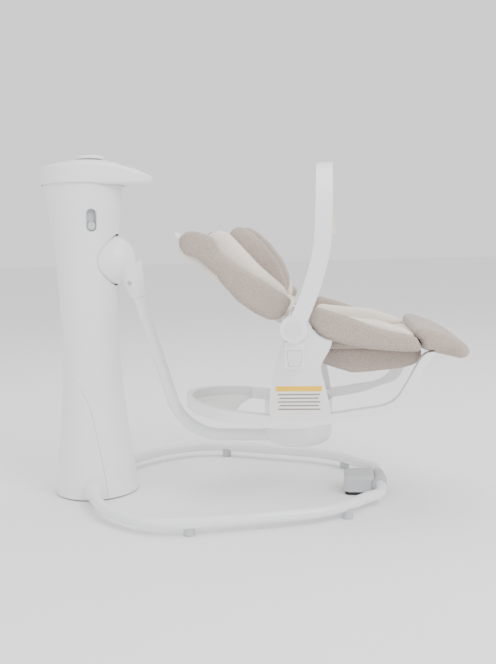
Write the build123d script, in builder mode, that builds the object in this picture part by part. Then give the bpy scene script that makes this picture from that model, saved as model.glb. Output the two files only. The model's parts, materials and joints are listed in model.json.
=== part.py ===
from build123d import *
import math
import os

# Baby swing. X runs forward from the tower to the foot end of the seat, Y to the left, Z up.
# The origin is on the floor, in the middle of the swing's footprint. Millimetres.

os.makedirs("parts", exist_ok=True)

# --- Driving dimensions: tower -------------------------------------------------------------
TOWER_X = -408.0
TOWER_RADII = ((3, 104), (108, 92), (233, 79), (357, 71.5), (449, 72.3), (600, 78.6), (719, 90), (801, 101))
TOWER_WALL = 3.0
TOWER_TOP = 801.0
SEAM_POINTS = ((-82, 336), (-71, 329), (-2, 264), (25, 175), (45, 63), (53, -5))
SEAM_GAP = 0.8
PAD_HEIGHT = 5.0
INLET_Z = 45.0
INLET_RADIUS = 7.0
SLIDER_ANGLE = 27.0
SLIDER_Z = 686.0
SLIDER_SURFACE = 86.5

# --- Driving dimensions: drive inside the tower --------------------------------------------
SHELF_TOP = 520.0
SHELF_THICKNESS = 8.0
TOP_PLATE_BOTTOM = 656.0
TOP_PLATE_RADIUS = 62.0
CARRIER_X = -415.0
COIL_X = -411.0

# --- Driving dimensions: head --------------------------------------------------------------
CAP_RADIUS = 103.0
VISOR_REACH = 174.0
VISOR_NOSE_RADIUS = 55.0
VISOR_BOTTOM = 771.0
DOME_RADIUS = 310.0
DOME_TOP = 836.0
DOME_SHIFT = 10.0
DIAL_SHIFT = 19.0
DIAL_RADIUS = 34.0
DIAL_HEIGHT = 8.0
BUTTON_RADIUS = 7.0
BUTTON_SHIFT = 122.0
BUTTON_PITCH = 27.0
PANEL_THICKNESS = 1.4
BOARD_BOTTOM = 803.0
BOARD_THICKNESS = 1.6
BUTTON_BOTTOM = 807.0

# --- Driving dimensions: swing arm ---------------------------------------------------------
PIVOT_Z = 589.0
OPENING_RADIUS = 64.5
HUB_RADIUS = 62.0
HUB_WALL = 4.0
HUB_X = -348.0
HUB_BACK_X = -372.0
SHAFT_RADIUS = 8.0
SHAFT_BACK_X = -455.0
RUNNING_GAP = 0.06
BEARING_RADIUS = 16.0
BEARING_WIDTH = 8.0
BEARING_CENTRES_X = (-380.0, -442.0)
ARM_TILT = 16.3
ARM_RADIUS = 15.0
ARM_WALL = 1.6
ARM_TOP_Z = 575.0
ARM_LOW_Z = 143.0
ARM_CORNER_X = -177.5
ARM_BEND_RADIUS = 130.0
ARM_END_X = 94.0
SLEEVE_END_Z = 494.0
SLEEVE_TOP_RADIUS = 36.0
SLEEVE_END_RADIUS = 18.5
SCREW_Z = 531.0

# --- Driving dimensions: dock and turntable ------------------------------------------------
DOCK_X = 114.0
DOCK_RADIUS = 82.0
DOCK_TOP = 178.0
DOCK_BOTTOM = 125.0
DOCK_CORNER = 30.0
DOCK_WALL = 4.0
SPINDLE_RADIUS = 12.0
TABLE_RADIUS = 79.0
TABLE_BOTTOM = 178.5
TABLE_TOP = 184.0
CONE_RADIUS = 30.0
CONE_TOP = 200.0

# --- Driving dimensions: floor frame -------------------------------------------------------
TUBE_RADIUS = 13.0
TUBE_WALL = 1.4
TUBE_Z = 27.0
RING_POINTS = (
    (-398, -58),
    (-384, -118),
    (-341, -207),
    (-273, -279),
    (-180, -322),
    (-46, -306),
    (100, -265),
    (212, -211),
    (283, -132),
    (313, -1),
)
COLLAR_LENGTH = 62.0
FRONT_COLLAR_RADIUS = 17.0
FRONT_COLLAR_HALF = 46.0
FOOT_POINTS = ((-113, 318), (229, 201))
FOOT_RADIUS = 12.5
BLOCK_X = (224.0, 299.0)
BLOCK_HALF_WIDTH = 42.0
BLOCK_TOP = 47.0

# --- Driving dimensions: rocker base -------------------------------------------------------
RAIL_OUTER_Y = 167.0
RAIL_INNER_Y = 141.0
REAR_REACH = 164.0
RIM_WIDTH = 14.0
PLATE_THICKNESS = 7.0
HOLE_X = -37.0
HOLE_CURVE_RADIUS = 520.0
SLOT_CENTRE_X = -75.0
SLOT_RADIUS = 52.0
SLOT_WIDTH = 4.5
BOSS_RADIUS = 84.0
BOSS_BOTTOM = 184.6
BOSS_TOP = 238.0
BRIDGE_HALF_LENGTH = 42.0
RAIL_LENGTH = 450.0
ROCKER_LOWER = (
    (-164, 226),
    (-91, 215),
    (-22, 208),
    (53, 199),
    (128, 198),
    (205, 210),
    (295, 228),
    (341, 245),
    (359, 251),
    (386, 289),
    (401, 328),
    (417, 352),
)
ROCKER_UPPER = (
    (-164, 254),
    (-91, 243),
    (-22, 236),
    (53, 227),
    (128, 226),
    (206, 232),
    (279, 243),
    (322, 252),
    (344, 267),
    (356, 284),
    (370, 308),
    (383, 332),
    (408, 367),
    (429, 370),
)

# --- Driving dimensions: uprights and hinge ------------------------------------------------
HINGE_X = 117.0
HINGE_Z = 434.0
UPRIGHT_LEAN = 11.3
UPRIGHT_FOOT_Y = 160.0
UPRIGHT_FOOT_Z = 215.0
UPRIGHT_THICKNESS = 14.0
PIN_RADIUS = 8.0
UPRIGHT_REAR = ((56, 212), (57, 271), (70, 345), (91, 406), (100, 446), (117, 464))
UPRIGHT_CREST = ((117, 464), (150, 440), (161, 423), (180, 408), (199, 402))
UPRIGHT_FRONT = ((199, 402), (190, 378), (174, 344), (179, 312), (188, 270), (193, 239), (196, 212))
LABEL_MIDDLE = (123.0, 269.5)
HOUSING_Y = 225.0
HOUSING_Z = (346.0, 404.0)
LEVER_Y = 222.0
LEVER_Z = (350.0, 386.0)
HUB_BOSS_Y = (190.0, 212.5)
HANDLE_HUB_Y = (213.5, 238.0)
HANDLE_HUB_RADIUS = 30.0
HANDLE_CAP_RADIUS = 18.5
HANDLE_DEPTH = 24.0
HANDLE_WIDTH = 37.0
HANDLE_TOP = 808.0
HANDLE_SHOULDER = 620.0
HANDLE_LINE = ((117, 434), (156, 520), (168, 557), (180, 603), (185, 657), (187, 700), (188, 815))
EYELET_Y = (175.0, 189.0)
EYELET_RADIUS = 14.0

# --- Driving dimensions: seat --------------------------------------------------------------
RECLINE_ANGLE = 36.0
FRAME_RADIUS = 7.0
FRAME_WALL = 1.2
FRAME_Y = 180.0
BACK_FRAME_LENGTH = 305.0
WING_Y = (165.0, 194.0)
FRONT_WING_Y = (165.0, 190.0)
FRONT_BOLSTER_Y = (120.0, 164.0)
BOLSTER_Y = (115.0, 164.0)
HUGGER_Y = (62.0, 114.0)
CUSHION_Y = 164.0
SEAT_HALF_WIDTH = 145.0
SEAT_FRAME_START = (150.0, 425.0)
SEAT_FRAME_SLOPE = 9.1
STRAP_THICKNESS = 2.0
SLING_HALF_WIDTH = 138.0
FOOT_HALF_WIDTH = 170.0
LEG_CLEAR_Z = 377.0
BACK_WING = (
    (-135, 618),
    (-124, 602),
    (-101, 597),
    (-62, 560),
    (-43, 538),
    (-8, 497),
    (30, 469),
    (58, 455),
    (85, 453),
    (108, 492),
    (53, 531),
    (-4, 567),
    (-50, 598),
    (-65, 636),
    (-99, 648),
    (-118, 650),
    (-135, 636),
)
BACK_BOLSTER_TOP = ((-72, 638), (-55, 647), (-33, 639), (32, 567), (91, 513))
HUGGER_TOP = ((-30, 635), (-27, 649), (-10, 656), (13, 643), (40, 617), (70, 576), (88, 534), (89, 511))
FRONT_WING = (
    (165, 474),
    (231, 452),
    (306, 423),
    (383, 404),
    (395, 377),
    (355, 378),
    (280, 384),
    (202, 404),
    (184, 410),
    (167, 422),
    (151, 445),
)
FRONT_BOLSTER = (
    (158, 402),
    (166, 454),
    (195, 449),
    (307, 436),
    (362, 417),
    (384, 404),
    (300, 400),
    (230, 400),
)
SEAT_TOP = ((120, 405), (160, 400), (230, 398), (300, 398), (398, 402))
SEAT_BOTTOM = 379.0
FOOT_SIDE = (
    (388, 404.5),
    (386, 422),
    (400, 423),
    (454, 404),
    (490, 384),
    (505, 371),
    (512, 360),
    (508, 352),
    (490, 354),
    (441, 366),
    (402, 377),
    (400, 404.5),
)
FOOT_REACH = 512.0
FOOT_CORNER = 90.0
SLING_SIDE = (
    (134, 376),
    (160, 352),
    (205, 334),
    (244, 321),
    (308, 326),
    (354, 332),
    (381, 339),
    (399, 352),
    (399, 377),
    (134, 377),
)
BUCKLE_X = 215.0
BUCKLE_Z = 399.2


# --- Helpers -------------------------------------------------------------------------------
def save(piece, label):
    """Give a finished piece its name and write it as its own file."""
    piece.part.label = label
    export_step(piece.part, f"parts/{label}.step")


def save_pair(piece, name):
    """Write a right-hand piece and its mirror image as two nodes."""
    save(piece, f"{name}_right")
    with BuildPart() as mirrored:
        mirror(piece.part, about=Plane.XZ)
    save(mirrored, f"{name}_left")


def save_both(piece, label):
    """Write a right-hand piece and its mirror image together as one node."""
    with BuildPart() as both:
        add(piece.part)
        mirror(piece.part, about=Plane.XZ)
    save(both, label)


def across(centre_x, centre_z, y_start, radius, length):
    """Solid cylinder along -Y that starts at y_start."""
    with BuildPart() as rod:
        with BuildSketch(Plane((centre_x, y_start, centre_z), x_dir=(1, 0, 0), z_dir=(0, -1, 0))):
            Circle(radius)
        extrude(amount=length)
    return rod.part


def lengthwise(start_x, centre_z, radius, length):
    """Solid cylinder along +X, on the plane of symmetry, that starts at start_x."""
    with BuildPart() as rod:
        with BuildSketch(Plane((start_x, 0, centre_z), x_dir=(0, 1, 0), z_dir=(1, 0, 0))):
            Circle(radius)
        extrude(amount=length)
    return rod.part


def post(x, y, radius, bottom, top):
    """Solid upright cylinder between two heights."""
    with BuildPart() as rod:
        with BuildSketch(Plane.XY.offset(bottom)):
            with Locations((x, y)):
                Circle(radius)
        extrude(amount=top - bottom)
    return rod.part


def tower_solid(inset):
    """Solid of revolution inside the tower's outline, moved in by inset."""
    with BuildPart() as solid:
        with BuildSketch(Plane.XZ):
            with BuildLine():
                side = Spline(*[(TOWER_X + radius - inset, height) for height, radius in TOWER_RADII])
                Polyline(side @ 1, (TOWER_X, TOWER_TOP), (TOWER_X, TOWER_RADII[0][0]), side @ 0)
            make_face()
        revolve(axis=Axis((TOWER_X, 0, 0), (0, 0, 1)))
    return solid.part


def behind_seam(shift):
    """Block behind the curved seam of the tower's rear cover."""
    with BuildPart() as block:
        with BuildSketch(Plane.XZ):
            with BuildLine():
                seam = Spline(*[(TOWER_X + x - shift, z) for x, z in SEAM_POINTS])
                far_x = TOWER_X - 130
                Polyline(seam @ 1, (far_x, SEAM_POINTS[-1][1]), (far_x, SEAM_POINTS[0][1]), seam @ 0)
            make_face()
        extrude(amount=130, both=True)
    return block.part


def dome(radius_inset):
    """Ball that gives the head its domed top."""
    with BuildPart() as ball:
        with Locations((TOWER_X + DOME_SHIFT, 0, DOME_TOP - DOME_RADIUS)):
            Sphere(DOME_RADIUS - radius_inset)
    return ball.part


def head_outline(inset):
    """Plan view of the head: a round with a narrower nose in front."""
    with BuildSketch() as outline:
        with Locations((TOWER_X, 0)):
            Circle(CAP_RADIUS - inset)
        with Locations((TOWER_X + VISOR_REACH - VISOR_NOSE_RADIUS, 0)):
            Circle(VISOR_NOSE_RADIUS - inset)
        make_hull()
    return outline.sketch


tower_outside = tower_solid(0)
tower_inside = tower_solid(TOWER_WALL)


# --- Floor frame ---------------------------------------------------------------------------
with BuildLine() as ring_plan:
    Spline(*RING_POINTS, tangents=[(0.1, -1), (0, 1)])
ring_line = ring_plan.line.moved(Location((0, 0, TUBE_Z)))


def ring_sweep(radius):
    """Solid that follows the right half of the floor ring."""
    with BuildPart() as solid:
        with BuildSketch(Plane(ring_line @ 0, x_dir=(0, 0, 1), z_dir=ring_line % 0)):
            Circle(radius)
        sweep(path=ring_line)
    return solid.part


ring_rod = ring_sweep(TUBE_RADIUS)
left_ring_rod = ring_rod.mirror(Plane.XZ)
with BuildPart() as base_tube:
    add(ring_rod)
    add(ring_sweep(TUBE_RADIUS - TUBE_WALL), mode=Mode.SUBTRACT)
save_both(base_tube, "base_tubes")

collar_start = ring_line @ 0.04
collar_direction = ring_line % 0.07
with BuildPart() as tube_collar:
    with BuildSketch(Plane(collar_start, z_dir=collar_direction)):
        Circle(TUBE_RADIUS + 10)
    with BuildSketch(Plane(collar_start + collar_direction * COLLAR_LENGTH, z_dir=collar_direction)):
        Circle(TUBE_RADIUS + 2.5)
    loft()
    add(tower_outside, mode=Mode.SUBTRACT)
    add(ring_rod, mode=Mode.SUBTRACT)
save_both(tube_collar, "tube_collars")

with BuildPart() as front_collar:
    with BuildLine(Plane.XY.offset(TUBE_Z)) as front_path:
        ThreePointArc((308.5, -FRONT_COLLAR_HALF), (313, 0), (308.5, FRONT_COLLAR_HALF))
    with BuildSketch(Plane(front_path.line @ 0, z_dir=front_path.line % 0)):
        Circle(FRONT_COLLAR_RADIUS)
    sweep(path=front_path.line)
    add(ring_rod, mode=Mode.SUBTRACT)
    add(left_ring_rod, mode=Mode.SUBTRACT)
save(front_collar, "front_collar")

block_length = BLOCK_X[1] - BLOCK_X[0]
block_middle = (BLOCK_X[0] + BLOCK_X[1]) / 2
with BuildPart() as front_foot:
    with Locations((block_middle, 0, (BLOCK_TOP + 8) / 2)):
        Box(block_length, 2 * BLOCK_HALF_WIDTH, BLOCK_TOP - 8)
    fillet(front_foot.edges().filter_by(Axis.Z), radius=16)
    fillet(front_foot.faces().sort_by(Axis.Z)[-1].edges(), radius=10)
    add(front_collar.part, mode=Mode.SUBTRACT)
    add(ring_rod, mode=Mode.SUBTRACT)
    add(left_ring_rod, mode=Mode.SUBTRACT)
save(front_foot, "front_foot")

with BuildPart() as front_foot_pad:
    with Locations((block_middle, 0, 4)):
        Box(block_length - 4, 2 * BLOCK_HALF_WIDTH - 4, 8)
    fillet(front_foot_pad.edges().filter_by(Axis.Z), radius=14)
save(front_foot_pad, "front_foot_pad")

with BuildPart() as tube_feet:
    for foot_x, foot_y in FOOT_POINTS:
        for side in (-1, 1):
            with Locations((foot_x, side * foot_y, TUBE_Z / 2)):
                Cylinder(FOOT_RADIUS, TUBE_Z)
    add(ring_rod, mode=Mode.SUBTRACT)
    add(left_ring_rod, mode=Mode.SUBTRACT)
    split(bisect_by=Plane.XY.offset(TUBE_Z - 6), keep=Keep.BOTTOM)
save(tube_feet, "tube_feet")


# --- Tower shell, covers and base ----------------------------------------------------------
slider_out = Vector(math.sin(math.radians(SLIDER_ANGLE)), -math.cos(math.radians(SLIDER_ANGLE)), 0)
slider_across = Vector(math.cos(math.radians(SLIDER_ANGLE)), math.sin(math.radians(SLIDER_ANGLE)), 0)


def slider_plane(radius):
    """Plane that faces out of the tower's flank, at a distance from its axis."""
    return Plane(Vector(TOWER_X, 0, SLIDER_Z) + slider_out * radius, x_dir=slider_across, z_dir=slider_out)


with BuildPart() as tower_shell:
    add(tower_outside)
    add(tower_inside, mode=Mode.SUBTRACT)
    add(behind_seam(0), mode=Mode.SUBTRACT)
    add(lengthwise(TOWER_X, PIVOT_Z, OPENING_RADIUS, 120), mode=Mode.SUBTRACT)
    with BuildSketch(slider_plane(SLIDER_SURFACE - 20)):
        SlotCenterToCenter(29, 26, rotation=90)
    extrude(amount=40, mode=Mode.SUBTRACT)
    add(ring_rod, mode=Mode.SUBTRACT)
    add(left_ring_rod, mode=Mode.SUBTRACT)
save(tower_shell, "tower_shell")

with BuildPart() as rear_cover:
    add(tower_outside)
    add(tower_inside, mode=Mode.SUBTRACT)
    add(behind_seam(SEAM_GAP), mode=Mode.INTERSECT)
    add(lengthwise(TOWER_X - 120, INLET_Z, INLET_RADIUS, 60), mode=Mode.SUBTRACT)
    add(ring_rod, mode=Mode.SUBTRACT)
    add(left_ring_rod, mode=Mode.SUBTRACT)
save(rear_cover, "rear_cover")

with BuildPart() as power_inlet:
    add(lengthwise(TOWER_X - 99, INLET_Z, INLET_RADIUS, 22))
    add(lengthwise(TOWER_X - 99, INLET_Z, 2.8, 12), mode=Mode.SUBTRACT)
    add(lengthwise(TOWER_X - 97, INLET_Z, 1.0, 12))
save(power_inlet, "power_inlet")

with BuildPart() as tower_base:
    add(tower_inside)
    with Locations((TOWER_X, 0, PAD_HEIGHT)):
        Box(240, 240, 9, align=(Align.CENTER, Align.CENTER, Align.MIN), mode=Mode.INTERSECT)
save(tower_base, "tower_base")

with BuildPart() as tower_pads:
    with Locations((TOWER_X, 0, 0)):
        with PolarLocations(74, 4, start_angle=45):
            Cylinder(14, PAD_HEIGHT, align=(Align.CENTER, Align.CENTER, Align.MIN))
save(tower_pads, "tower_pads")


# --- Head: cap, dial, control panel and buttons --------------------------------------------
def head_block(inset, bottom):
    """Head volume under the dome, moved in by inset, above a given height."""
    with BuildPart() as block:
        add(extrude(head_outline(inset), amount=90).moved(Location((0, 0, bottom))))
        add(dome(inset), mode=Mode.INTERSECT)
    return block.part


def dome_height(x, y):
    """Height of the head's domed top above a point."""
    distance = math.hypot(x - TOWER_X - DOME_SHIFT, y)
    return DOME_TOP - DOME_RADIUS + math.sqrt(DOME_RADIUS**2 - distance**2)


def panel_block(inset):
    """Upright block with the control panel's outline."""
    with BuildPart() as block:
        with BuildSketch(Plane.XY.offset(VISOR_BOTTOM + 10)):
            with Locations((TOWER_X + BUTTON_SHIFT - 6, 0)):
                RectangleRounded(34 - 2 * inset, 88 - 2 * inset, 15 - inset)
        extrude(amount=70)
    return block.part


button_places = [(TOWER_X + BUTTON_SHIFT - 6, y) for y in (-BUTTON_PITCH, 0, BUTTON_PITCH)]
dial_x = TOWER_X + DIAL_SHIFT

with BuildPart() as tower_cap:
    with BuildSketch(Plane.XY.offset(VISOR_BOTTOM)):
        add(head_outline(0))
    extrude(amount=90)
    add(dome(0), mode=Mode.INTERSECT)
    fillet(tower_cap.faces().sort_by(Axis.Z)[0].edges(), radius=9)
    fillet(tower_cap.faces().sort_by(Axis.Z)[-1].edges(), radius=8)
    add(head_block(3.5, VISOR_BOTTOM + 3), mode=Mode.SUBTRACT)
    add(post(TOWER_X, 0, CAP_RADIUS - 1.4, VISOR_BOTTOM - 5, TOWER_TOP), mode=Mode.SUBTRACT)
    for x, y in ((-30, -22), (-30, 22), (60, -22), (60, 22)):
        add(post(TOWER_X + x, y, 3.5, BOARD_BOTTOM + BOARD_THICKNESS, dome_height(TOWER_X + x, y) - 2))
    add(panel_block(0) - dome(PANEL_THICKNESS), mode=Mode.SUBTRACT)
    add(post(dial_x, 0, 4 + RUNNING_GAP, BOARD_BOTTOM, DOME_TOP + 5), mode=Mode.SUBTRACT)
    for x, y in button_places:
        add(post(x, y, BUTTON_RADIUS + 0.3, BOARD_BOTTOM, DOME_TOP), mode=Mode.SUBTRACT)
save(tower_cap, "tower_cap")

with BuildPart() as control_panel:
    add(panel_block(0.15))
    add(dome(0), mode=Mode.INTERSECT)
    add(dome(PANEL_THICKNESS), mode=Mode.SUBTRACT)
    for x, y in button_places:
        add(post(x, y, BUTTON_RADIUS + 0.3, BOARD_BOTTOM, DOME_TOP), mode=Mode.SUBTRACT)
save(control_panel, "control_panel")

for name, (x, y) in zip(("sound_button", "power_button", "timer_button"), button_places):
    with BuildPart() as button:
        add(post(x, y, BUTTON_RADIUS, BUTTON_BOTTOM, dome_height(x, y) + 1.4))
        fillet(button.faces().sort_by(Axis.Z)[-1].edges(), radius=0.8)
    save(button, name)

with BuildPart() as speed_dial:
    add(post(dial_x, 0, DIAL_RADIUS, DOME_TOP + 0.4, DOME_TOP + DIAL_HEIGHT))
    fillet(speed_dial.faces().sort_by(Axis.Z)[-1].edges(), radius=3)
    add(post(dial_x, 0, 4, BOARD_BOTTOM + 8, DOME_TOP + 2))
save(speed_dial, "speed_dial")

with BuildPart() as circuit_board:
    with Locations((TOWER_X + 43, 0, BOARD_BOTTOM)):
        Box(166, 60, BOARD_THICKNESS, align=(Align.CENTER, Align.CENTER, Align.MIN))
save(circuit_board, "circuit_board")


# --- Flank slider --------------------------------------------------------------------------
slider_floor = slider_plane(SLIDER_SURFACE - 12)

with BuildPart() as slider_track:
    with BuildSketch(slider_plane(SLIDER_SURFACE - 15)):
        SlotCenterToCenter(29, 25.6, rotation=90)
    extrude(amount=13)
    with BuildSketch(slider_floor):
        SlotCenterToCenter(29, 22, rotation=90)
    extrude(amount=20, mode=Mode.SUBTRACT)
save(slider_track, "slider_track")

with BuildPart() as flank_slider:
    with BuildSketch(slider_plane(SLIDER_SURFACE - 11.5)):
        with Locations((0, -13.8)):
            Circle(10)
    extrude(amount=9)
    fillet(flank_slider.edges().sort_by(SortBy.LENGTH)[-1], radius=1.5)
save(flank_slider, "flank_slider")


# --- Chassis, bearings, shaft and drive ----------------------------------------------------

with BuildPart() as chassis:
    add(tower_inside)
    with Locations((TOWER_X, 0, SHELF_TOP)):
        Box(240, 240, SHELF_THICKNESS, align=(Align.CENTER, Align.CENTER, Align.MAX), mode=Mode.INTERSECT)
    for centre_x, half_width in zip(BEARING_CENTRES_X, (52, 40)):
        with Locations((centre_x, 0, SHELF_TOP)):
            Box(12, 2 * half_width, TOP_PLATE_BOTTOM - SHELF_TOP, align=(Align.CENTER, Align.CENTER, Align.MIN))
    with Locations((TOWER_X, 0, TOP_PLATE_BOTTOM)):
        Cylinder(TOP_PLATE_RADIUS, 6, align=(Align.CENTER, Align.CENTER, Align.MIN))
    add(lengthwise(SHAFT_BACK_X, PIVOT_Z, BEARING_RADIUS, 100), mode=Mode.SUBTRACT)
save(chassis, "chassis")

with BuildPart() as shaft_bearings:
    for centre_x in BEARING_CENTRES_X:
        add(lengthwise(centre_x - BEARING_WIDTH / 2, PIVOT_Z, BEARING_RADIUS, BEARING_WIDTH))
    add(lengthwise(SHAFT_BACK_X, PIVOT_Z, SHAFT_RADIUS + RUNNING_GAP, 100), mode=Mode.SUBTRACT)
save(shaft_bearings, "shaft_bearings")

with BuildPart() as pivot_shaft:
    add(lengthwise(SHAFT_BACK_X, PIVOT_Z, SHAFT_RADIUS, 103))
save(pivot_shaft, "pivot_shaft")

shaft_rod = lengthwise(SHAFT_BACK_X - 10, PIVOT_Z, SHAFT_RADIUS, 130)
with BuildPart() as magnet_carrier:
    with BuildSketch(Plane((CARRIER_X, 0, PIVOT_Z), x_dir=(0, 1, 0), z_dir=(1, 0, 0))):
        Circle(18)
        with Locations((0, -22)):
            Rectangle(30, 44)
    extrude(amount=8)
    add(shaft_rod, mode=Mode.SUBTRACT)
save(magnet_carrier, "magnet_carrier")

with BuildPart() as drive_magnets:
    for side in (-1, 1):
        with Locations((CARRIER_X + 4, side * 7, PIVOT_Z - 48)):
            Box(12, 12, 8)
save(drive_magnets, "drive_magnets")

with BuildPart() as drive_coil:
    add(post(COIL_X, 0, 22, SHELF_TOP, SHELF_TOP + 12))
    add(post(COIL_X, 0, 9, SHELF_TOP, SHELF_TOP + 12), mode=Mode.SUBTRACT)
save(drive_coil, "drive_coil")

with BuildPart() as speaker:
    add(post(TOWER_X, 0, 28, TOP_PLATE_BOTTOM + 6, TOP_PLATE_BOTTOM + 12))
    add(post(TOWER_X, 0, 16, TOP_PLATE_BOTTOM + 12, TOP_PLATE_BOTTOM + 24))
save(speaker, "speaker")


# --- Swing arm -----------------------------------------------------------------------------
tilt = math.radians(ARM_TILT)
arm_down = Vector(math.sin(tilt), 0, -math.cos(tilt))


def arm_point(height):
    """Point on the straight upper stretch of the arm's centreline."""
    return Vector(ARM_CORNER_X - (height - ARM_LOW_Z) * math.tan(tilt), 0, height)


with BuildLine(Plane.XZ) as arm_path:
    arm_start = arm_point(ARM_TOP_Z)
    FilletPolyline(
        (arm_start.X, arm_start.Z),
        (ARM_CORNER_X, ARM_LOW_Z),
        (ARM_END_X, ARM_LOW_Z),
        radius=ARM_BEND_RADIUS,
    )


def arm_sweep(radius):
    """Solid that follows the arm's centreline."""
    with BuildPart() as solid:
        with BuildSketch(Plane(arm_path.line @ 0, z_dir=arm_path.line % 0)):
            Circle(radius)
        sweep(path=arm_path.line)
    return solid.part


arm_rod = arm_sweep(ARM_RADIUS)
screw_x = arm_point(SCREW_Z).X - 4
screw_rod = across(screw_x, SCREW_Z, 40, 3, 80)

with BuildPart() as arm_tube:
    add(arm_rod)
    add(arm_sweep(ARM_RADIUS - ARM_WALL), mode=Mode.SUBTRACT)
    add(screw_rod, mode=Mode.SUBTRACT)
save(arm_tube, "arm_tube")

with BuildPart() as arm_hub:
    add(lengthwise(HUB_BACK_X, PIVOT_Z, HUB_RADIUS, HUB_X - HUB_BACK_X))
    with Locations((HUB_X, 0, PIVOT_Z)):
        Sphere(HUB_RADIUS)
    split(bisect_by=Plane.YZ.offset(HUB_BACK_X), keep=Keep.TOP)
    with BuildSketch(Plane(arm_point(ARM_TOP_Z), z_dir=arm_down)):
        Circle(SLEEVE_TOP_RADIUS)
    with BuildSketch(Plane(arm_point(SLEEVE_END_Z), z_dir=arm_down)):
        Circle(SLEEVE_END_RADIUS)
    loft()
    add(lengthwise(HUB_BACK_X + 6, PIVOT_Z, HUB_RADIUS - HUB_WALL, 26), mode=Mode.SUBTRACT)
    add(arm_rod, mode=Mode.SUBTRACT)
    add(shaft_rod, mode=Mode.SUBTRACT)
    add(screw_rod, mode=Mode.SUBTRACT)
    add(across(screw_x, SCREW_Z, -21, 6.2, 20), mode=Mode.SUBTRACT)
save(arm_hub, "arm_hub")

with BuildPart() as hub_screw:
    add(across(screw_x, SCREW_Z, -21, 5.8, 3))
    add(across(screw_x, SCREW_Z, 18, 3, 39))
    with BuildSketch(Plane((screw_x, -24, SCREW_Z), x_dir=(1, 0, 0), z_dir=(0, -1, 0))):
        RegularPolygon(2.6, 6)
    extrude(amount=-2, mode=Mode.SUBTRACT)
save(hub_screw, "hub_screw")


# --- Dock and turntable --------------------------------------------------------------------
dock_axis = Axis((DOCK_X, 0, 0), (0, 0, 1))
with BuildPart() as dock_bowl:
    with BuildSketch(Plane.XZ) as bowl_section:
        with BuildLine():
            flat_x = DOCK_X + DOCK_RADIUS - DOCK_CORNER
            outer_x = DOCK_X + DOCK_RADIUS
            corner_z = DOCK_BOTTOM + DOCK_CORNER
            Line((DOCK_X, DOCK_BOTTOM), (flat_x, DOCK_BOTTOM))
            RadiusArc((flat_x, DOCK_BOTTOM), (outer_x, corner_z), -DOCK_CORNER)
            Line((outer_x, corner_z), (outer_x, DOCK_TOP))
            Line((outer_x, DOCK_TOP), (outer_x - DOCK_WALL, DOCK_TOP))
            Line((outer_x - DOCK_WALL, DOCK_TOP), (outer_x - DOCK_WALL, corner_z))
            RadiusArc((outer_x - DOCK_WALL, corner_z), (flat_x, DOCK_BOTTOM + DOCK_WALL), DOCK_CORNER - DOCK_WALL)
            Line((flat_x, DOCK_BOTTOM + DOCK_WALL), (DOCK_X, DOCK_BOTTOM + DOCK_WALL))
            Line((DOCK_X, DOCK_BOTTOM + DOCK_WALL), (DOCK_X, DOCK_BOTTOM))
        make_face()
    revolve(axis=dock_axis)
    add(post(DOCK_X, 0, 18, DOCK_BOTTOM + 2, DOCK_TOP - 2))
    with Locations((ARM_END_X - 26, 0, DOCK_BOTTOM + 2)):
        Box(50, 44, 24, align=(Align.CENTER, Align.CENTER, Align.MIN))
    add(post(DOCK_X, 0, SPINDLE_RADIUS + RUNNING_GAP, DOCK_BOTTOM + DOCK_WALL, DOCK_TOP + 5), mode=Mode.SUBTRACT)
    add(arm_rod, mode=Mode.SUBTRACT)
save(dock_bowl, "dock_bowl")

with BuildPart() as turntable:
    add(post(DOCK_X, 0, TABLE_RADIUS, TABLE_BOTTOM, TABLE_TOP))
    add(post(DOCK_X, 0, SPINDLE_RADIUS, DOCK_BOTTOM + 7, TABLE_BOTTOM + 1))
    add(post(DOCK_X, 0, CONE_RADIUS, TABLE_TOP - 1, CONE_TOP))
    fillet(turntable.faces().sort_by(Axis.Z)[-1].edges(), radius=5)
save(turntable, "turntable")


# --- Rocker base ---------------------------------------------------------------------------
def plan_block(inset, bottom, height):
    """Upright block with the rocker base's plan outline, moved in by inset."""
    side_y = RAIL_OUTER_Y - inset
    with BuildPart() as block:
        with BuildSketch(Plane.XY.offset(bottom)):
            Ellipse(REAR_REACH - inset, side_y)
            with Locations((RAIL_LENGTH / 2, 0)):
                Rectangle(RAIL_LENGTH, 2 * side_y)
        extrude(amount=height)
    return block.part


def band_block(lift, thickness_points, half_width):
    """Block with the rocker base's side view, from its lower edge up to the given points."""
    with BuildPart() as block:
        with BuildSketch(Plane.XZ):
            with BuildLine():
                low = Spline(*[(x, z + lift) for x, z in ROCKER_LOWER])
                high = Spline(*thickness_points)
                Line(low @ 0, high @ 0)
                Line(low @ 1, high @ 1)
            make_face()
        extrude(amount=half_width, both=True)
    return block.part


with BuildPart() as rear_hollow:
    add(band_block(PLATE_THICKNESS, [(x, z + 60) for x, z in ROCKER_UPPER], 200))
    add(plan_block(RIM_WIDTH, 100, 300), mode=Mode.INTERSECT)
    with Locations((-160, 0, 300)):
        Box(280, 400, 400, mode=Mode.INTERSECT)

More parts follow.
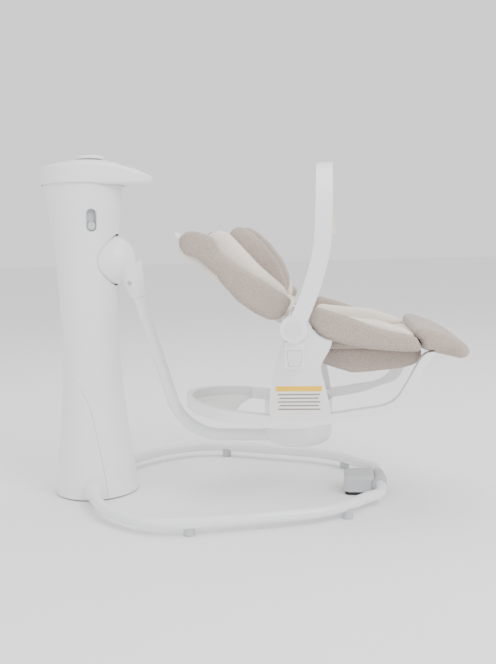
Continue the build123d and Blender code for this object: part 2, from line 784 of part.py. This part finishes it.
with BuildPart() as rocker_base:
    add(band_block(0, ROCKER_UPPER, 200))
    add(plan_block(0, 100, 400), mode=Mode.INTERSECT)
    add(rear_hollow.part, mode=Mode.SUBTRACT)
    with BuildSketch(Plane.XY.offset(100)):
        with Locations((RAIL_LENGTH / 2, 0)):
            Rectangle(RAIL_LENGTH + 80, 2 * RAIL_INNER_Y)
        with Locations((HOLE_X + HOLE_CURVE_RADIUS, 0)):
            Circle(HOLE_CURVE_RADIUS, mode=Mode.INTERSECT)
        with Locations((DOCK_X, 0)):
            Rectangle(2 * BRIDGE_HALF_LENGTH, 2 * RAIL_OUTER_Y, mode=Mode.SUBTRACT)
    extrude(amount=400, mode=Mode.SUBTRACT)
    with BuildSketch(Plane.XY.offset(100)):
        SlotArc(CenterArc((SLOT_CENTRE_X, 0), SLOT_RADIUS, 80, 200), SLOT_WIDTH)
    extrude(amount=300, mode=Mode.SUBTRACT)
    add(post(DOCK_X, 0, BOSS_RADIUS, BOSS_BOTTOM, BOSS_TOP))
    add(post(DOCK_X, 0, CONE_RADIUS + 0.5, BOSS_BOTTOM - 20, CONE_TOP + 1), mode=Mode.SUBTRACT)
save(rocker_base, "rocker_base")


# --- Uprights, hinge and release levers ----------------------------------------------------
lean = math.radians(UPRIGHT_LEAN)
upright_out = Vector(0, -math.cos(lean), -math.sin(lean))


def upright_plane(shift):
    """Leaning plane of the right-hand upright, moved outward by shift."""
    origin = Vector(0, -UPRIGHT_FOOT_Y, UPRIGHT_FOOT_Z) + upright_out * shift
    return Plane(origin, x_dir=(1, 0, 0), z_dir=upright_out)


def up_the_plate(points):
    """Side-view points turned into the upright plane's own coordinates."""
    return [(x, (z - UPRIGHT_FOOT_Z) / math.cos(lean)) for x, z in points]


def lever_shape(inset, y_start, depth):
    """Tapered block of the release lever, from y_start outward."""
    with BuildPart() as block:
        with BuildSketch(Plane((HINGE_X, -y_start, 0), x_dir=(1, 0, 0), z_dir=(0, -1, 0))):
            with BuildLine():
                low, high = LEVER_Z
                Polyline(
                    (-13 + inset, low + inset),
                    (13 - inset, low + inset),
                    (18 - inset, high - inset),
                    (-18 + inset, high - inset),
                    close=True,
                )
            make_face()
            fillet(vertices(), radius=5)
        extrude(amount=depth)
    return block.part


with BuildPart() as hinge_boss:
    add(across(HINGE_X, HINGE_Z, -HUB_BOSS_Y[0], 29, HUB_BOSS_Y[1] - HUB_BOSS_Y[0]))
    fillet(hinge_boss.edges(), radius=2)

with BuildPart() as upright:
    with BuildSketch(upright_plane(-UPRIGHT_THICKNESS / 2)):
        with BuildLine():
            rear = Spline(*up_the_plate(UPRIGHT_REAR))
            Spline(*up_the_plate(UPRIGHT_CREST))
            front = Spline(*up_the_plate(UPRIGHT_FRONT))
            Line(front @ 1, rear @ 0)
        make_face()
    extrude(amount=UPRIGHT_THICKNESS)
    add(hinge_boss.part)
    with Locations((HINGE_X, -HOUSING_Y, HOUSING_Z[0])):
        Box(42, 32, HOUSING_Z[1] - HOUSING_Z[0], align=(Align.CENTER, Align.MIN, Align.MIN))
    add(across(HINGE_X, HINGE_Z, -HUB_BOSS_Y[1], 31, 30), mode=Mode.SUBTRACT)
    add(lever_shape(0, LEVER_Y - 3.5, 20), mode=Mode.SUBTRACT)
    add(across(HINGE_X, HINGE_Z, -150, PIN_RADIUS, 90), mode=Mode.SUBTRACT)
    add(rocker_base.part, mode=Mode.SUBTRACT)
save_pair(upright, "upright")

with BuildPart() as upright_label:
    with BuildSketch(upright_plane(UPRIGHT_THICKNESS / 2)):
        with Locations(up_the_plate([LABEL_MIDDLE])[0]):
            RectangleRounded(110, 70, 4)
    extrude(amount=0.5)
save_both(upright_label, "upright_labels")

with BuildPart() as handle_release:
    add(lever_shape(0.5, LEVER_Y, 5))
    fillet(handle_release.faces().sort_by(Axis.Y)[0].edges(), radius=1.5)
save_pair(handle_release, "handle_release")

with BuildPart() as pivot_pin:
    add(across(HINGE_X, HINGE_Z, -171.5, 11, 3))
    add(across(HINGE_X, HINGE_Z, -171.5, PIN_RADIUS, 64.5))
save_both(pivot_pin, "pivot_pins")


# --- Carry handle --------------------------------------------------------------------------
def arch_block(shift):
    """Block with the arch's front view, its outline moved in by shift."""
    half = HANDLE_HUB_Y[1] - shift
    with BuildPart() as block:
        with BuildSketch(Plane((0, 0, 0), x_dir=(0, 1, 0), z_dir=(1, 0, 0))):
            with Locations((0, HANDLE_SHOULDER)):
                Ellipse(half, HANDLE_TOP - HANDLE_SHOULDER - shift)
            with Locations((0, HANDLE_SHOULDER / 2)):
                Rectangle(2 * half, HANDLE_SHOULDER)
        extrude(amount=300)
    return block.part


def handle_ribbon(width):
    """Block with the handle's side view: a curved band of even width."""
    with BuildPart() as block:
        with BuildSketch(Plane.XZ):
            with BuildLine():
                centre = Spline(*HANDLE_LINE, mode=Mode.PRIVATE)
                stations = [k / 8 for k in range(9)]
                normals = [(centre % t).rotate(Axis.Z, 90) for t in stations]
                back = Spline(*[(centre @ t) + normal * (width / 2) for t, normal in zip(stations, normals)])
                ahead = Spline(*[(centre @ t) - normal * (width / 2) for t, normal in zip(stations, normals)])
                Line(back @ 0, ahead @ 0)
                Line(back @ 1, ahead @ 1)
            make_face()
        extrude(amount=260, both=True)
    return block.part


arch_inside = arch_block(HANDLE_DEPTH)
ribbon = handle_ribbon(HANDLE_WIDTH)
with BuildPart() as carry_handle:
    add(ribbon)
    add(arch_block(0), mode=Mode.INTERSECT)
    add(arch_inside, mode=Mode.SUBTRACT)
    for y_start in (-HANDLE_HUB_Y[0], HANDLE_HUB_Y[1]):
        add(across(HINGE_X, HINGE_Z, y_start, HANDLE_HUB_RADIUS, HANDLE_HUB_Y[1] - HANDLE_HUB_Y[0]))
    add(across(HINGE_X, HINGE_Z, 260, PIN_RADIUS + RUNNING_GAP, 520), mode=Mode.SUBTRACT)
save(carry_handle, "carry_handle")

with BuildPart() as hub_cap:
    add(across(HINGE_X, HINGE_Z, -HANDLE_HUB_Y[1], HANDLE_CAP_RADIUS, 2))
    fillet(hub_cap.faces().sort_by(Axis.Y)[0].edges(), radius=1)
save_both(hub_cap, "hub_caps")

with BuildPart() as handle_label:
    add(arch_inside)
    add(arch_block(HANDLE_DEPTH + 0.5), mode=Mode.SUBTRACT)
    with Locations((200, 200, 674)):
        Box(28, 100, 72, mode=Mode.INTERSECT)
save(handle_label, "handle_label")


# --- Seat frames ---------------------------------------------------------------------------
recline = math.radians(RECLINE_ANGLE)
back_along = Vector(-math.cos(recline), 0, math.sin(recline))


def bent_tube(plane, points, bend, radius):
    """Solid rod of round section along a filleted polyline."""
    with BuildPart() as rod:
        with BuildLine(plane) as route:
            FilletPolyline(*points, radius=bend)
        with BuildSketch(Plane(route.line @ 0, z_dir=route.line % 0)):
            Circle(radius)
        sweep(path=route.line)
    return rod.part


lying_back = Plane((HINGE_X, 0, HINGE_Z), x_dir=back_along, z_dir=back_along.cross(Vector(0, -1, 0)))
back_points = [(12, -FRAME_Y), (BACK_FRAME_LENGTH, -FRAME_Y), (BACK_FRAME_LENGTH, FRAME_Y), (12, FRAME_Y)]
back_rod = bent_tube(lying_back, back_points, 60, FRAME_RADIUS)
with BuildPart() as backrest_frame:
    add(back_rod)
    add(bent_tube(lying_back, back_points, 60, FRAME_RADIUS - FRAME_WALL), mode=Mode.SUBTRACT)
    for y_start in (-EYELET_Y[0], EYELET_Y[1]):
        add(across(HINGE_X, HINGE_Z, y_start, EYELET_RADIUS, EYELET_Y[1] - EYELET_Y[0]))
    add(across(HINGE_X, HINGE_Z, 200, PIN_RADIUS + RUNNING_GAP, 400), mode=Mode.SUBTRACT)
save(backrest_frame, "backrest_frame")

slope = math.radians(SEAT_FRAME_SLOPE)
lying_seat = Plane(
    (SEAT_FRAME_START[0], 0, SEAT_FRAME_START[1]),
    x_dir=(math.cos(slope), 0, -math.sin(slope)),
    z_dir=(math.sin(slope), 0, math.cos(slope)),
)
seat_points = [(0, -178), (222, -178), (322, -100), (322, 100), (222, 178), (0, 178)]
seat_rod = bent_tube(lying_seat, seat_points, 40, FRAME_RADIUS)
with BuildPart() as seat_frame:
    add(seat_rod)
    add(bent_tube(lying_seat, seat_points, 40, FRAME_RADIUS - FRAME_WALL), mode=Mode.SUBTRACT)
    for y_start in (-176, 197):
        add(across(SEAT_FRAME_START[0], SEAT_FRAME_START[1], y_start, FRAME_RADIUS, 21))
    add(upright.part, mode=Mode.SUBTRACT)
    add(upright.part.mirror(Plane.XZ), mode=Mode.SUBTRACT)
save(seat_frame, "seat_frame")


# --- Backrest cushions ---------------------------------------------------------------------
def on_back(distance_up, height_off):
    """Side-view point at a distance up the backrest and a height off its middle plane."""
    return (
        HINGE_X - distance_up * math.cos(recline) + height_off * math.sin(recline),
        HINGE_Z + distance_up * math.sin(recline) + height_off * math.cos(recline),
    )


def soft_slab(points, y_near, y_far, rounding):
    """Closed cushion block: a side-view polygon between two distances to the right."""
    with BuildPart() as slab:
        with BuildSketch(Plane.XZ.offset(y_near)):
            with BuildLine():
                Polyline(*points, close=True)
            make_face()
        extrude(amount=y_far - y_near)
        if rounding > 0:
            fillet(slab.faces().filter_by(Axis.Y).edges(), radius=rounding)
    return slab.part


back_cushion_corners = [on_back(30, -15), on_back(315, -15), on_back(315, 22), on_back(30, 22)]
with BuildPart() as back_cushion:
    add(soft_slab(back_cushion_corners, -CUSHION_Y, CUSHION_Y, 8))
    add(back_rod, mode=Mode.SUBTRACT)
save(back_cushion, "back_cushion")

with BuildPart() as back_wing:
    add(soft_slab(BACK_WING, WING_Y[0], WING_Y[1], 4))
    add(back_rod, mode=Mode.SUBTRACT)
save_both(back_wing, "back_wings")

with BuildPart() as back_bolster:
    add(soft_slab([*BACK_BOLSTER_TOP, on_back(45, 23), on_back(292, 23)], BOLSTER_Y[0], BOLSTER_Y[1], 5))
save_both(back_bolster, "back_bolsters")

with BuildPart() as head_hugger:
    add(soft_slab([*HUGGER_TOP, on_back(68, 23), on_back(245, 23)], HUGGER_Y[0], HUGGER_Y[1], 5))
save_both(head_hugger, "head_huggers")

with BuildPart() as shoulder_strap:
    strap_corners = [on_back(70, 22.5), on_back(250, 22.5), on_back(250, 24.5), on_back(70, 24.5)]
    add(soft_slab(strap_corners, 18, 46, 0))
save_both(shoulder_strap, "shoulder_straps")

with BuildPart() as grip_loop:
    add(bent_tube(lying_back, [(315.2, -30), (364, -30), (364, 30), (315.2, 30)], 14, 4))
save(grip_loop, "grip_loop")


# --- Seat cushions -------------------------------------------------------------------------
with BuildPart() as seat_cushion:
    seat_side = [*SEAT_TOP, (398, SEAT_BOTTOM), (120, SEAT_BOTTOM)]
    add(soft_slab(seat_side, -SEAT_HALF_WIDTH, SEAT_HALF_WIDTH, 5))
save(seat_cushion, "seat_cushion")

with BuildPart() as front_wing:
    add(soft_slab(FRONT_WING, FRONT_WING_Y[0], FRONT_WING_Y[1], 4))
    add(seat_rod, mode=Mode.SUBTRACT)
save_both(front_wing, "front_wings")

with BuildPart() as front_bolster:
    add(soft_slab(FRONT_BOLSTER, FRONT_BOLSTER_Y[0], FRONT_BOLSTER_Y[1], 4))
save_both(front_bolster, "front_bolsters")

with BuildPart() as foot_cushion:
    add(soft_slab(FOOT_SIDE, -FOOT_HALF_WIDTH, FOOT_HALF_WIDTH, 0))
    with BuildSketch(Plane.XY.offset(300)):
        with Locations((FOOT_REACH - 130, 0)):
            RectangleRounded(260, 2 * FOOT_HALF_WIDTH, FOOT_CORNER)
    extrude(amount=200, mode=Mode.INTERSECT)
    for side in (-1, 1):
        with Locations((450, side * (SLING_HALF_WIDTH + 50), LEG_CLEAR_Z)):
            Box(200, 100, 100, align=(Align.CENTER, Align.CENTER, Align.MAX), mode=Mode.SUBTRACT)
    add(soft_slab(FRONT_WING, FRONT_WING_Y[0] - 1, FRONT_WING_Y[1], 0), mode=Mode.SUBTRACT)
    add(soft_slab(FRONT_WING, 1 - FRONT_WING_Y[0], -FRONT_WING_Y[1], 0), mode=Mode.SUBTRACT)
    add(seat_rod, mode=Mode.SUBTRACT)
save(foot_cushion, "foot_cushion")

with BuildPart() as underside_sling:
    add(soft_slab(SLING_SIDE, -SLING_HALF_WIDTH, SLING_HALF_WIDTH, 0))
save(underside_sling, "underside_sling")

with BuildPart() as under_strap:
    add(soft_slab([(163, 349.5), (166, 349), (162.5, 268), (159.5, 268)], 47, 72, 0))
save(under_strap, "under_strap")

with BuildPart() as under_buckle:
    with Locations((161, -59.5, BOSS_TOP + 0.2)):
        Box(12, 34, 29.6, align=(Align.CENTER, Align.CENTER, Align.MIN))
    fillet(under_buckle.edges().filter_by(Axis.X), radius=5)
save(under_buckle, "under_buckle")


# --- Harness -------------------------------------------------------------------------------
with BuildPart() as harness_straps:
    strap_side = [(238, 398.6), (340, 400.2), (340, 400.2 + STRAP_THICKNESS), (238, 398.6 + STRAP_THICKNESS)]
    add(soft_slab(strap_side, -15, 15, 0))
    for side in (-1, 1):
        with Locations((BUCKLE_X, side * 70, BUCKLE_Z)):
            Box(25, 98, STRAP_THICKNESS, align=(Align.CENTER, Align.CENTER, Align.MIN))
save(harness_straps, "harness_straps")

with BuildPart() as harness_buckle:
    with Locations((BUCKLE_X, 0, BUCKLE_Z)):
        Box(45, 41, 13, align=(Align.CENTER, Align.CENTER, Align.MIN))
    fillet(harness_buckle.edges().filter_by(Axis.Z), radius=10)
    fillet(harness_buckle.faces().sort_by(Axis.Z)[-1].edges(), radius=3)
    add(post(BUCKLE_X, 0, 9.4, BUCKLE_Z + 5, BUCKLE_Z + 20), mode=Mode.SUBTRACT)
save(harness_buckle, "harness_buckle")

with BuildPart() as buckle_button:
    add(post(BUCKLE_X, 0, 9, BUCKLE_Z + 8, BUCKLE_Z + 15))
    fillet(buckle_button.faces().sort_by(Axis.Z)[-1].edges(), radius=1)
save(buckle_button, "buckle_button")
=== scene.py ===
import bpy
import json
import math
from mathutils import Matrix, Vector


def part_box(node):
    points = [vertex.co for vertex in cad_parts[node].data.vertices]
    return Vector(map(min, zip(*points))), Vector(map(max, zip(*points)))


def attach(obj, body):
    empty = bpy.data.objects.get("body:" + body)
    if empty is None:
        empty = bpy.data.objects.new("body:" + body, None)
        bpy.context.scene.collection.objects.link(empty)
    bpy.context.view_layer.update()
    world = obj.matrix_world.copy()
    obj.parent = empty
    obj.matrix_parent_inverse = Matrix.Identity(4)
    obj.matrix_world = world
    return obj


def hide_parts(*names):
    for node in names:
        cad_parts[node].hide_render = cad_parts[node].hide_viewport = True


# Baby swing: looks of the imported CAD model. Metres, in the row's frame.

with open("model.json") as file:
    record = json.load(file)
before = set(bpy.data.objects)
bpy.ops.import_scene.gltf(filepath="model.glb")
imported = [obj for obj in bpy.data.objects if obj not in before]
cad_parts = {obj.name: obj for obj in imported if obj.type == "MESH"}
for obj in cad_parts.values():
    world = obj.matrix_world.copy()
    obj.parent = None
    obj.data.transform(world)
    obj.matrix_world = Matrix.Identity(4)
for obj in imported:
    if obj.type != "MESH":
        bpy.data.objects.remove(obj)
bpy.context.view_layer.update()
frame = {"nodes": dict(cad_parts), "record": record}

WEAVE_SCALE = 900.0
FLECK_SCALE = 420
PIPING_RADIUS = 0.0014
PIPING_BACK_Y = 0.1955
PIPING_FRONT_Y = 0.1915
SOFT_VOXEL = 0.005
WRINKLE_SCALE = 0.09
WRINKLE_DEPTH = 0.004
SEAT_SIDE_TOP = 0.396
LABEL_HEADER = (0.104, 0.012)
LABEL_LINE_HEIGHT = 0.003
LABEL_LINE_PITCH = 0.009
PATCH_LIFT = 0.0004
UPRIGHT_FOOT = (0.160, 0.215)


# --- Materials -----------------------------------------------------------------------------
def plain_material(name, colour, roughness, metallic=0.0, coat=0.0):
    """Principled material with uniform values."""
    material = bpy.data.materials.new(name)
    material.use_nodes = True
    shader = material.node_tree.nodes["Principled BSDF"]
    shader.inputs["Base Color"].default_value = (*colour, 1)
    shader.inputs["Roughness"].default_value = roughness
    shader.inputs["Metallic"].default_value = metallic
    shader.inputs["Coat Weight"].default_value = coat
    return material


def add_bump(material, scale, strength, distance, kind="ShaderNodeTexNoise"):
    """Fine procedural relief in object space."""
    nodes = material.node_tree.nodes
    links = material.node_tree.links
    place = nodes.new("ShaderNodeTexCoord")
    texture = nodes.new(kind)
    texture.inputs["Scale"].default_value = scale
    bump = nodes.new("ShaderNodeBump")
    bump.inputs["Strength"].default_value = strength
    bump.inputs["Distance"].default_value = distance
    links.new(place.outputs["Object"], texture.inputs["Vector"])
    height = texture.outputs["Distance"] if kind == "ShaderNodeTexVoronoi" else texture.outputs["Fac"]
    links.new(height, bump.inputs["Height"])
    links.new(bump.outputs["Normal"], nodes["Principled BSDF"].inputs["Normal"])
    return material


def fabric_material(name, colour, dark):
    """Woven fabric: two close colours mixed by a fine noise, with a woven relief and sheen."""
    material = plain_material(name, colour, 0.9)
    nodes = material.node_tree.nodes
    links = material.node_tree.links
    shader = nodes["Principled BSDF"]
    shader.inputs["Sheen Weight"].default_value = 0.25
    shader.inputs["Specular IOR Level"].default_value = 0.2
    place = nodes.new("ShaderNodeTexCoord")
    noise = nodes.new("ShaderNodeTexNoise")
    noise.inputs["Scale"].default_value = FLECK_SCALE
    ramp = nodes.new("ShaderNodeValToRGB")
    ramp.color_ramp.elements[0].position = 0.35
    ramp.color_ramp.elements[0].color = (*dark, 1)
    ramp.color_ramp.elements[1].position = 0.65
    ramp.color_ramp.elements[1].color = (*colour, 1)
    links.new(place.outputs["Object"], noise.inputs["Vector"])
    links.new(noise.outputs["Fac"], ramp.inputs["Fac"])
    links.new(ramp.outputs["Color"], shader.inputs["Base Color"])
    return add_bump(material, WEAVE_SCALE, 0.25, 0.0006, "ShaderNodeTexVoronoi")


MATERIALS = {
    "white_plastic": add_bump(
        plain_material("white_plastic", (0.86, 0.865, 0.87), 0.34, coat=0.15),
        260,
        0.03,
        0.0004,
    ),
    "white_tube": plain_material("white_tube", (0.85, 0.86, 0.87), 0.22, coat=0.4),
    "grey_plastic": add_bump(
        plain_material("grey_plastic", (0.5, 0.51, 0.53), 0.45),
        300,
        0.05,
        0.0004,
    ),
    "pale_plastic": plain_material("pale_plastic", (0.78, 0.785, 0.79), 0.4),
    "dark_plastic": add_bump(
        plain_material("dark_plastic", (0.02, 0.02, 0.022), 0.45),
        300,
        0.05,
        0.0004,
    ),
    "dark_rubber": add_bump(
        plain_material("dark_rubber", (0.015, 0.015, 0.016), 0.75),
        400,
        0.1,
        0.0005,
    ),
    "steel": plain_material("steel", (0.55, 0.56, 0.58), 0.3, metallic=1.0),
    "copper": plain_material("copper", (0.75, 0.35, 0.15), 0.35, metallic=1.0),
    "board": plain_material("board", (0.02, 0.12, 0.04), 0.5),
    "taupe_fabric": fabric_material("taupe_fabric", (0.46, 0.385, 0.335), (0.34, 0.28, 0.24)),
    "cream_fabric": fabric_material("cream_fabric", (0.82, 0.75, 0.67), (0.72, 0.65, 0.57)),
    "seam_fabric": fabric_material("seam_fabric", (0.33, 0.27, 0.23), (0.25, 0.2, 0.17)),
    "webbing": fabric_material("webbing", (0.035, 0.032, 0.03), (0.02, 0.018, 0.017)),
    "label": plain_material("label", (0.88, 0.86, 0.8), 0.5),
    "label_yellow": plain_material("label_yellow", (0.95, 0.55, 0.01), 0.5),
    "label_ink": plain_material("label_ink", (0.25, 0.24, 0.22), 0.6),
}

slot_of = {part["node"]: part["material_slot"] for part in frame["record"]["subparts"]}
for node, cad_object in frame["nodes"].items():
    for index in range(max(1, len(cad_object.material_slots))):
        if not cad_object.material_slots:
            cad_object.data.materials.append(MATERIALS[slot_of[node]])
        cad_object.material_slots[index].material = MATERIALS[slot_of[node]]


# --- Soft goods ----------------------------------------------------------------------------
def separate_copy(node, name):
    """Copy of a CAD soft solid as a new mesh object with the same place."""
    source = frame["nodes"][node]
    piece = source.copy()
    piece.data = source.data.copy()
    piece.name = name
    bpy.context.collection.objects.link(piece)
    world = source.matrix_world.copy()
    piece.parent = None
    piece.matrix_world = world
    return piece


def apply_modifiers(piece):
    """Bake every modifier of a piece into its mesh."""
    graph = bpy.context.evaluated_depsgraph_get()
    mesh = bpy.data.meshes.new_from_object(piece.evaluated_get(graph))
    piece.modifiers.clear()
    piece.data = mesh


def soften(node, body, amount, smoothing):
    """Soft cushion in place of a CAD soft solid: remeshed, rounded and crowned."""
    name = node + "_soft"
    piece = separate_copy(node, name)
    remesh = piece.modifiers.new("remesh", "REMESH")
    remesh.mode = "VOXEL"
    remesh.voxel_size = SOFT_VOXEL
    smooth = piece.modifiers.new("smooth", "SMOOTH")
    smooth.factor = 0.6
    smooth.iterations = smoothing
    swell = piece.modifiers.new("swell", "DISPLACE")
    swell.mid_level = 0.0
    swell.strength = amount
    apply_modifiers(piece)
    wrinkle = bpy.data.textures.new(name + "_wrinkle", "CLOUDS")
    wrinkle.noise_scale = WRINKLE_SCALE
    relief = piece.modifiers.new("wrinkle", "DISPLACE")
    relief.texture = wrinkle
    relief.texture_coords = "LOCAL"
    relief.strength = WRINKLE_DEPTH
    relief.mid_level = 0.5
    finish = piece.modifiers.new("finish", "SMOOTH")
    finish.factor = 0.5
    finish.iterations = 3
    apply_modifiers(piece)
    for polygon in piece.data.polygons:
        polygon.use_smooth = True
    piece.data.materials.clear()
    piece.data.materials.append(MATERIALS[slot_of[node]])
    if node == "seat_cushion":
        piece.data.materials.append(MATERIALS["taupe_fabric"])
        for polygon in piece.data.polygons:
            polygon.material_index = int(polygon.center.z < SEAT_SIDE_TOP)
    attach(piece, body)
    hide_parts(node)
    return piece


SOFT_PIECES = (
    ("back_cushion", "back", 0.004, 6),
    ("back_wings", "back", 0.004, 4),
    ("back_bolsters", "back", 0.006, 8),
    ("head_huggers", "back", 0.006, 8),
    ("seat_cushion", "seat", 0.004, 6),
    ("front_wings", "seat", 0.004, 4),
    ("front_bolsters", "seat", 0.005, 7),
    ("foot_cushion", "seat", 0.005, 12),
    ("underside_sling", "seat", 0.003, 8),
)
for node, body, amount, smoothing in SOFT_PIECES:
    soften(node, body, amount, smoothing)


# --- Piping along the seams ----------------------------------------------------------------
def piping(name, points, body, slot_name):
    """Thin sewn cord along a seam, through the given points."""
    curve = bpy.data.curves.new(name, "CURVE")
    curve.dimensions = "3D"
    curve.bevel_depth = PIPING_RADIUS
    curve.bevel_resolution = 3
    curve.use_fill_caps = True
    line = curve.splines.new("BEZIER")
    line.bezier_points.add(len(points) - 1)
    for knot, point in zip(line.bezier_points, points):
        knot.co = point
        knot.handle_left_type = "AUTO"
        knot.handle_right_type = "AUTO"
    piece = bpy.data.objects.new(name, curve)
    bpy.context.collection.objects.link(piece)
    curve.materials.append(MATERIALS[slot_name])
    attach(piece, body)
    return piece


BACK_SEAM = (
    (-0.118, 0.641),
    (-0.079, 0.602),
    (-0.040, 0.563),
    (-0.012, 0.526),
    (0.012, 0.496),
    (0.040, 0.474),
)
FRONT_SEAM = (
    (0.164, 0.436),
    (0.184, 0.418),
    (0.204, 0.411),
    (0.280, 0.392),
    (0.355, 0.385),
    (0.388, 0.386),
)
for side, word in ((-1, "right"), (1, "left")):
    back_y = side * PIPING_BACK_Y
    front_y = side * PIPING_FRONT_Y
    piping(f"back_piping_{word}", [(x, back_y, z) for x, z in BACK_SEAM], "back", "seam_fabric")
    piping(f"front_piping_{word}", [(x, front_y, z) for x, z in FRONT_SEAM], "seat", "seam_fabric")


# --- Labels --------------------------------------------------------------------------------
def label_patch(name, centre, right, up, width, height, material, body):
    """Thin printed patch that stands just proud of a label."""
    normal = right.cross(up)
    corners = [(-1, -1), (1, -1), (1, 1), (-1, 1)]
    base = [centre + right * (a * width / 2) + up * (b * height / 2) for a, b in corners]
    vertices = base + [point + normal * PATCH_LIFT for point in base]
    faces = [(3, 2, 1, 0), (4, 5, 6, 7), (0, 1, 5, 4), (1, 2, 6, 5), (2, 3, 7, 6), (3, 0, 4, 7)]
    mesh = bpy.data.meshes.new(name)
    mesh.from_pydata([tuple(vertex) for vertex in vertices], [], faces)
    mesh.materials.append(MATERIALS[material])
    piece = bpy.data.objects.new(name, mesh)
    bpy.context.collection.objects.link(piece)
    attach(piece, body)
    return piece


LEAN = math.radians(11.3)
label_low, label_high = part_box("upright_labels")
label_x = (label_low.x + label_high.x) / 2
label_z = (label_low.z + label_high.z) / 2
for side, word in ((-1, "right"), (1, "left")):
    outward = Vector((0, side * math.cos(LEAN), -math.sin(LEAN)))
    up = Vector((0, side * math.sin(LEAN), math.cos(LEAN)))
    right = up.cross(outward)
    reach = UPRIGHT_FOOT[0] + (label_z - UPRIGHT_FOOT[1]) * math.tan(LEAN)
    middle = Vector((label_x, side * reach, label_z)) + outward * 0.0076
    header = middle + up * 0.027
    label_patch(f"label_header_{word}", header, right, up, *LABEL_HEADER, "label_yellow", "seat")
    for row in range(5):
        place = middle + up * (0.013 - row * LABEL_LINE_PITCH)
        width = 0.096 - 0.008 * (row % 2)
        name = f"label_line_{row}_{word}"
        label_patch(name, place, right, up, width, LABEL_LINE_HEIGHT, "label_ink", "seat")


# --- Stage, light and camera ---------------------------------------------------------------
def stage_floor():
    """Plain pale floor."""
    bpy.ops.mesh.primitive_plane_add(size=40, location=(0, 0, -0.0005))
    floor = bpy.context.object
    floor.name = "stage_floor"
    floor.data.materials.append(plain_material("stage_white", (0.9, 0.9, 0.9), 0.9))


def area_light(name, place, target, size, power):
    """Soft square light that looks at a target."""
    data = bpy.data.lights.new(name, "AREA")
    data.size = size
    data.energy = power
    lamp = bpy.data.objects.new(name, data)
    lamp.location = place
    lamp.rotation_euler = (Vector(target) - Vector(place)).to_track_quat("-Z", "Y").to_euler()
    bpy.context.collection.objects.link(lamp)


stage_floor()
area_light("key_light", (2.2, -1.8, 2.6), (0, 0, 0.4), 1.8, 84)
area_light("fill_light", (-1.6, -2.6, 1.6), (0, 0, 0.4), 2.4, 22)
area_light("top_light", (0.2, 0.8, 3.2), (0, 0, 0.4), 2.6, 50)

world = bpy.context.scene.world or bpy.data.worlds.new("studio")
bpy.context.scene.world = world
world.use_nodes = True
world.node_tree.nodes["Background"].inputs["Color"].default_value = (1, 1, 1, 1)
world.node_tree.nodes["Background"].inputs["Strength"].default_value = 1.25

CAMERA_PLACE = Vector((0.1999, -1.9706, 0.6312))
CAMERA_YAW = math.radians(6.01)
CAMERA_PITCH = math.radians(-6.59)
CAMERA_ROLL = math.radians(-1.54)
forward = Vector((
    -math.sin(CAMERA_YAW) * math.cos(CAMERA_PITCH),
    math.cos(CAMERA_YAW) * math.cos(CAMERA_PITCH),
    math.sin(CAMERA_PITCH),
))
level_right = forward.cross(Vector((0, 0, 1))).normalized()
level_up = level_right.cross(forward)
camera_right = level_right * math.cos(CAMERA_ROLL) + level_up * math.sin(CAMERA_ROLL)
camera_up = -level_right * math.sin(CAMERA_ROLL) + level_up * math.cos(CAMERA_ROLL)
camera_data = bpy.data.cameras.new("camera")
camera_data.sensor_fit = "VERTICAL"
camera_data.sensor_height = 36
camera_data.lens = 43.6
camera = bpy.data.objects.new("camera", camera_data)
turn = Matrix((camera_right, camera_up, -forward)).transposed().to_4x4()
camera.matrix_world = Matrix.Translation(CAMERA_PLACE) @ turn
bpy.context.collection.objects.link(camera)
bpy.context.scene.camera = camera
